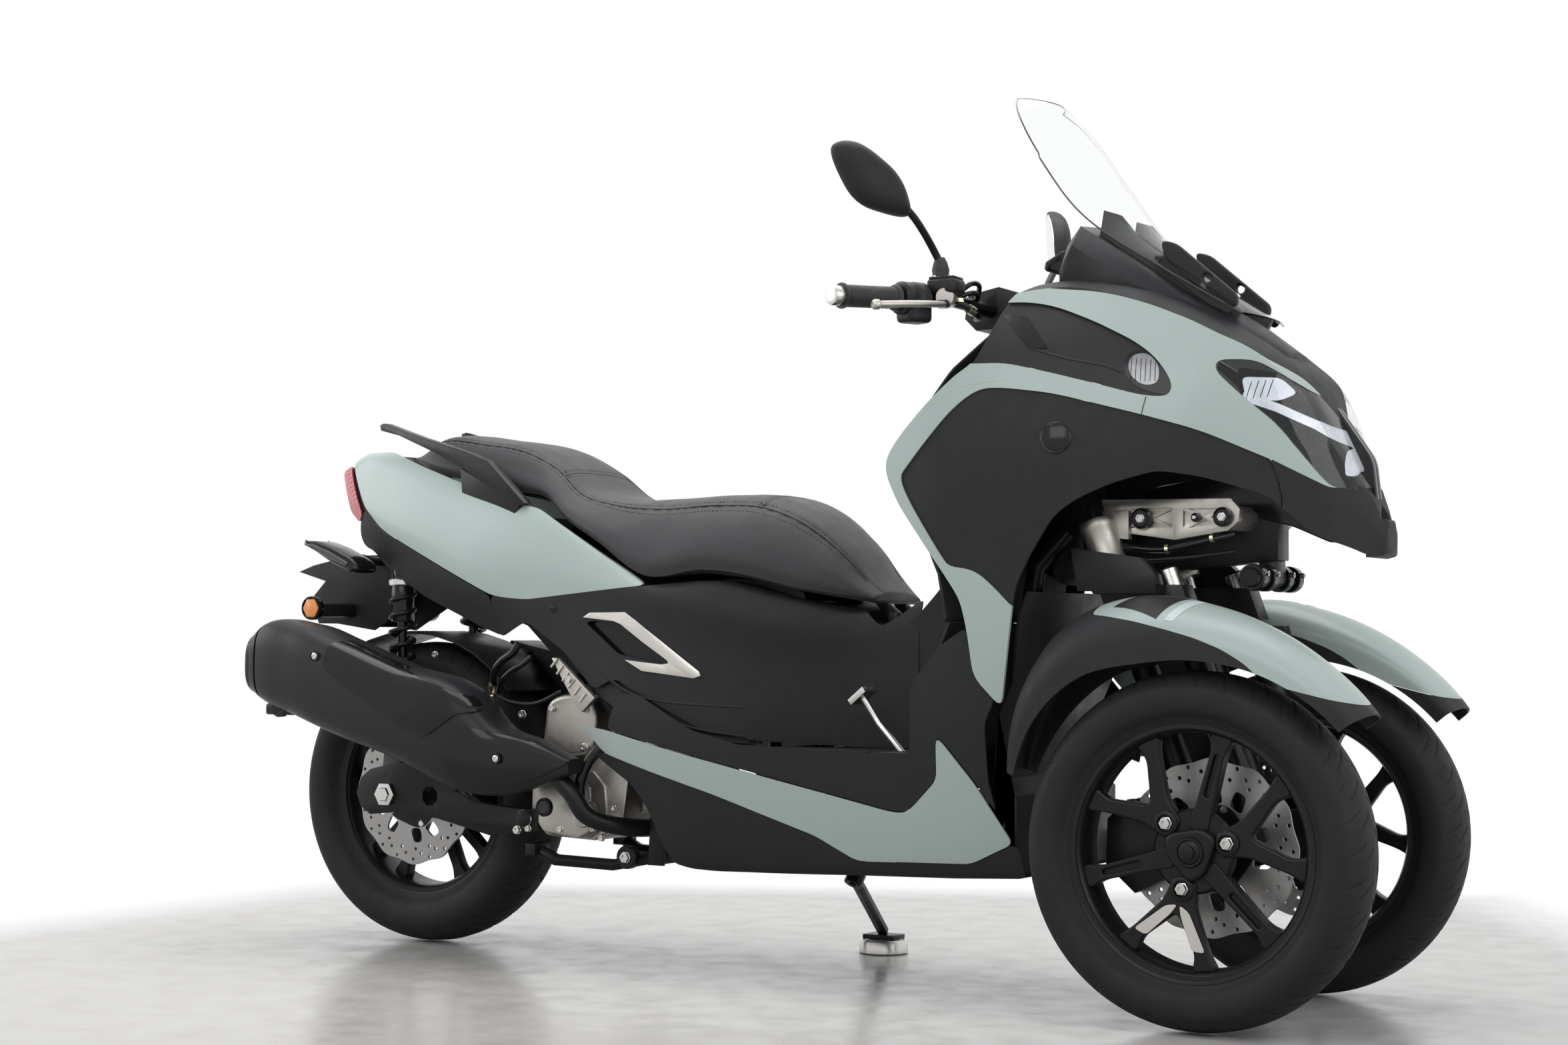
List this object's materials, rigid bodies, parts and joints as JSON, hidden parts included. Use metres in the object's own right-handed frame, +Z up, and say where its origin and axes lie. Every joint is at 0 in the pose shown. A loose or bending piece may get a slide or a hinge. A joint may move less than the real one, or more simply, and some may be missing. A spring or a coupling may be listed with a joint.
{
  "type": "leaning three-wheeled scooter",
  "caption": "Motorized trike: a leaning scooter with paired steered front wheels, step-through floor, two-level seat, windscreen and side stand.",
  "frame": {"origin": "on the ground under the middle of the vehicle's overall box", "axes": "+X forward, +Y to the rider's left, +Z up"},
  "size_m": [2.1448, 0.801, 1.431],
  "materials": {
    "paint_green": "satin sage green paint on plastic",
    "plastic_dark": "textured charcoal plastic",
    "plastic_gloss": "gloss black plastic",
    "metal_black": "satin black powder coat",
    "cast_silver": "bead-blasted casting",
    "steel_bright": "plated steel",
    "silver_trim": "satin silver trim",
    "tyre_rubber": "black tyre rubber",
    "grip_rubber": "black rubber",
    "seat_vinyl": "grained black vinyl",
    "clear_screen": "clear polycarbonate",
    "lens_red": "red lamp lens",
    "mirror_black": "black mirror housing"
  },
  "bodies": {
    "chassis": {"belly_pan": "plastic_dark", "brake_pedal": "steel_bright", "cowl_frames": "paint_green", "cowl_sides": "plastic_dark", "dash": "plastic_gloss", "engine_block": "cast_silver", "exhaust": "metal_black", "floor_sides": "plastic_dark", "foot_boards": "plastic_dark", "foot_pegs": "cast_silver", "forehead": "plastic_dark", "frame": "metal_black", "grab_rails": "metal_black", "headlight": "plastic_gloss", "inner_fender": "plastic_gloss", "leg_shield": "plastic_dark", "nose": "plastic_dark", "rear_fender": "plastic_dark", "rear_hugger": "plastic_dark", "rear_shocks": "metal_black", "rear_signals": "plastic_gloss", "screen_hood": "plastic_dark", "side_covers": "plastic_dark", "signal_panels": "plastic_dark", "skirts": "paint_green", "stand_plate": "steel_bright", "storage_tub": "plastic_dark", "swingarm": "metal_black", "tail_light": "lens_red", "tail_panels": "paint_green", "tail_under_cover": "plastic_dark", "tilt_arms": "cast_silver", "tilt_lock": "metal_black", "transmission_case": "metal_black", "vent_trims": "silver_trim", "windscreen": "clear_screen"},
    "handlebar": {"handlebar": "metal_black", "grips": "grip_rubber", "bar_controls": "plastic_dark", "bar_cover": "plastic_dark", "mirrors": "mirror_black"},
    "fork_right": {"fork_right": "metal_black", "fender_right": "plastic_gloss", "fender_trim_right": "paint_green"},
    "fork_left": {"fork_left": "metal_black", "fender_left": "plastic_gloss", "fender_trim_left": "paint_green"},
    "wheel_front_right": {"tyre_front_right": "tyre_rubber", "rim_front_right": "metal_black", "disc_front_right": "steel_bright"},
    "wheel_front_left": {"tyre_front_left": "tyre_rubber", "rim_front_left": "metal_black", "disc_front_left": "steel_bright"},
    "wheel_rear": {"tyre_rear": "tyre_rubber", "rim_rear": "metal_black", "disc_rear": "steel_bright"},
    "seat": {"seat_cushion": "seat_vinyl", "seat_base": "plastic_dark"},
    "side_stand": {"side_stand": "metal_black"},
    "centre_stand": {"centre_stand": "metal_black"}
  },
  "joints": [
    {"name": "steer", "type": "hinge", "parent": "chassis", "child": "handlebar", "pos_m": [0.47792, 0, 0.95], "axis": [-0.342, 0, 0.9397], "range_deg": [-30, 30]},
    {"name": "kingpin_right", "type": "hinge", "parent": "chassis", "child": "fork_right", "pos_m": [0.64202, -0.142, 0.65], "axis": [-0.342, 0, 0.9397], "range_deg": [-30, 30]},
    {"name": "kingpin_left", "type": "hinge", "parent": "chassis", "child": "fork_left", "pos_m": [0.64202, 0.142, 0.65], "axis": [-0.342, 0, 0.9397], "range_deg": [-30, 30]},
    {"name": "roll_front_right", "type": "hinge", "parent": "fork_right", "child": "wheel_front_right", "pos_m": [0.8106, -0.235, 0.2618], "axis": [0, 1, 0], "continuous": true},
    {"name": "roll_front_left", "type": "hinge", "parent": "fork_left", "child": "wheel_front_left", "pos_m": [0.8106, 0.235, 0.2618], "axis": [0, 1, 0], "continuous": true},
    {"name": "roll_rear", "type": "hinge", "parent": "chassis", "child": "wheel_rear", "pos_m": [-0.7844, 0, 0.2758], "axis": [0, 1, 0], "continuous": true},
    {"name": "seat_lid", "type": "hinge", "parent": "chassis", "child": "seat", "pos_m": [0.1996, 0, 0.6], "axis": [0, 1, 0], "range_deg": [0, 70]},
    {"name": "side_stand_fold", "type": "hinge", "parent": "chassis", "child": "side_stand", "pos_m": [0.0456, 0.112, 0.15], "axis": [0.1552, 0.5346, 0.8307], "range_deg": [0, 68]},
    {"name": "centre_stand_fold", "type": "hinge", "parent": "chassis", "child": "centre_stand", "pos_m": [-0.2144, 0, 0.19], "axis": [0, -1, 0], "range_deg": [0, 95]}
  ],
  "couplings": [
    {"joint": "kingpin_right", "follows": "steer", "ratio": 1},
    {"joint": "kingpin_left", "follows": "steer", "ratio": 1}
  ]
}
